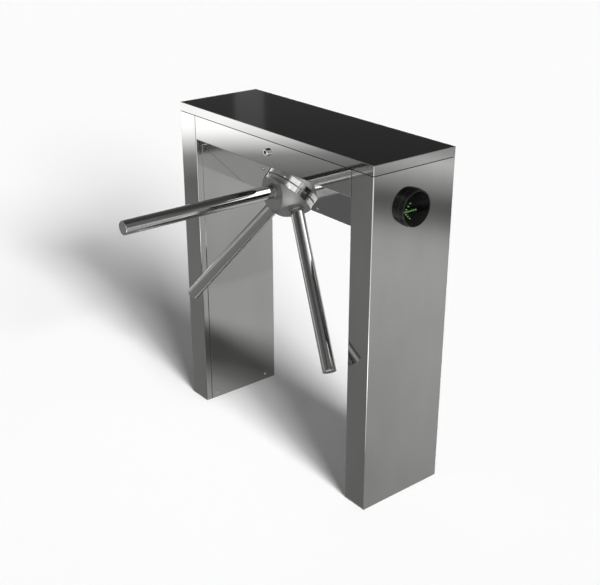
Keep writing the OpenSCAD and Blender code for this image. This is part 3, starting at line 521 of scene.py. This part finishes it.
def flat_sheet(low, high, height):
    """Flat rectangle between two (x, y) corners."""
    shape = bmesh.new()
    bmesh.ops.create_grid(shape, x_segments=1, y_segments=1, size=0.5)
    size = (high[0] - low[0], high[1] - low[1], 1)
    middle = ((low[0] + high[0]) / 2, (low[1] + high[1]) / 2, height)
    bmesh.ops.scale(shape, vec=size, verts=shape.verts)
    bmesh.ops.translate(shape, vec=middle, verts=shape.verts)
    return shape


def brightness(tree, along, levels):
    """Brightness by pairs of position and level. A ramp's colours stop at 1, so it holds
    shares of the top level."""
    top = max(level for position, level in levels)
    ramp = add_node(tree, "ShaderNodeValToRGB", {}, {"Fac": along})
    share = set_stops(
        ramp, [(position, [level / top] * 3 + [1]) for position, level in levels]
    )
    scaled = add_node(
        tree, "ShaderNodeMath", {"operation": "MULTIPLY"}, {0: share, 1: top}
    )
    return scaled.outputs["Value"]


def add_floor():
    """White floor that is fully matt, and so shows nothing but shadows."""
    shape = flat_sheet((-FLOOR_REACH, -FLOOR_REACH), (FLOOR_REACH, FLOOR_REACH), 0)
    material, tree, shader = start_material(
        "studio_floor",
        {"Base Color": linear("#FAFAFA"), "Roughness": 1.0, "Specular IOR Level": 0.0},
    )
    make_object("floor", shape, material)


def add_world():
    """Grey studio round the scene, pale at the horizon and dark overhead."""
    world = bpy.data.worlds.new("studio")
    bpy.context.scene.world = world
    world.use_nodes = True
    tree = world.node_tree
    tree.nodes.clear()
    ray = add_node(tree, "ShaderNodeTexCoord", {}, {}).outputs["Generated"]
    height = add_node(tree, "ShaderNodeSeparateXYZ", {}, {"Vector": ray}).outputs["Z"]
    sky = add_node(
        tree,
        "ShaderNodeBackground",
        {},
        {"Color": linear("#FFFFFF"), "Strength": brightness(tree, height, SKY)},
    )
    add_node(tree, "ShaderNodeOutputWorld", {}, {"Surface": sky.outputs["Background"]})


def glow_material(name, levels, azimuth):
    """Glow that changes along an azimuth."""
    material = bpy.data.materials.new(name)
    material.use_nodes = True
    tree = material.node_tree
    tree.nodes.clear()
    place = add_node(tree, "ShaderNodeTexCoord", {}, {}).outputs["Object"]
    far = levels[-1][0]
    along = add_node(
        tree,
        "ShaderNodeVectorMath",
        {"operation": "DOT_PRODUCT"},
        {0: place, 1: direction(azimuth, 0) / far},
    )
    shares = [(distance / far, level) for distance, level in levels]
    glow = brightness(tree, along.outputs["Value"], shares)
    light = add_node(tree, "ShaderNodeEmission", {}, {"Strength": glow})
    add_node(tree, "ShaderNodeOutputMaterial", {}, {"Surface": light.outputs["Emission"]})
    return material


def add_card(name, levels, low, high, azimuth=0):
    """Glowing card on the floor, between two (x, y) corners, that only mirrors see."""
    material = glow_material(name, levels, azimuth)
    card = make_object(name, flat_sheet(low, high, CARD_HEIGHT), material)
    card.visible_camera = False
    card.visible_diffuse = False
    card.visible_transmission = False
    card.visible_shadow = False


def place_lamp(name, data, place, facing):
    """Puts a lamp at a place and turns it to face a way."""
    lamp = bpy.data.objects.new(name, data)
    bpy.context.collection.objects.link(lamp)
    lamp.location = place
    lamp.rotation_euler = facing.to_track_quat("-Z", "Y").to_euler()
    return lamp


def add_sun(name, strength, spread, azimuth, elevation):
    """Sun that casts the floor's shadow. Glossy rays don't see it, because the photograph
    shows no bright spot of it on the casting."""
    data = bpy.data.lights.new(name, "SUN")
    data.energy = strength
    data.angle = math.radians(spread)
    way = direction(azimuth, elevation)
    lamp = place_lamp(name, data, way * SUN_DISTANCE, -way)
    lamp.visible_glossy = False


def add_softbox(name, radiance, width, height, azimuth, elevation, distance):
    """Evenly lit panel that mirrors see, and the camera and matt surfaces don't."""
    data = bpy.data.lights.new(name, "AREA")
    data.shape = "RECTANGLE"
    data.size = width
    data.size_y = height
    data.energy = radiance * math.pi * width * height
    way = direction(azimuth, elevation)
    lamp = place_lamp(name, data, AIM + way * distance, -way)
    lamp.visible_camera = False
    lamp.visible_diffuse = False


add_floor()
add_world()

# Suns, with angles in degrees. The second is lower, so its shadow reaches farther.
add_sun("key", strength=3.85, spread=14, azimuth=-7, elevation=27.5)
add_sun("side_key", strength=2.6, spread=14, azimuth=-17.5, elevation=19)

# Cards, with corners in metres. The two in front are what the fronts mirror, and the one
# to the right and behind is what the right end and the left leg's cover mirror.
add_card("front_card", FRONT_CARD, low=(-13, -2.75), high=(0.44, -0.141), azimuth=-144.04)
add_card("far_front_card", even(0.55), low=(-13, -10), high=(0.44, -2.75))
add_card("back_card", BACK_CARD, low=(0.4255, -0.4), high=(4.5, 4.5), azimuth=65.75)

# Softboxes: radiance, width and height, with sizes and distance in metres and angles in
# degrees. The first lights the arm's end that the right leg mirrors, the second the rim
# and the arms, and the next two draw thin streaks on the arms. The last one draws the pale
# band on the black lid.
add_softbox("key_panel", 1.8, 2.4, 1.9, azimuth=-8, elevation=24, distance=4.0)
add_softbox("camera_panel", 1.2, 3.2, 3.0, azimuth=-40, elevation=18, distance=5.0)
add_softbox("high_strip", 7.0, 2.4, 0.3, azimuth=-40, elevation=38, distance=4.0)
add_softbox("top_panel", 0.16, 4.6, 1.4, azimuth=-10, elevation=54, distance=4.0)
add_softbox("lid_strip", 0.32, 0.25, 2.6, azimuth=145.8, elevation=14, distance=6.0)

# Cards in the cabinet's shadow, a dim sheet seen only by mirrors that is a painted shadow
# and darkens the sloped face on the right of the hub, and to the right in front, which
# lights the legs' edges, the arms and the hub
add_card("painted_shadow_card", even(0.09), low=(-1.8, 0.12), high=(-0.43, 0.94))
add_card("edge_card", EDGE_CARD, low=(0.45, -3.4), high=(3.6, -0.41), azimuth=-39)

bpy.context.scene.view_settings.view_transform = "Standard"
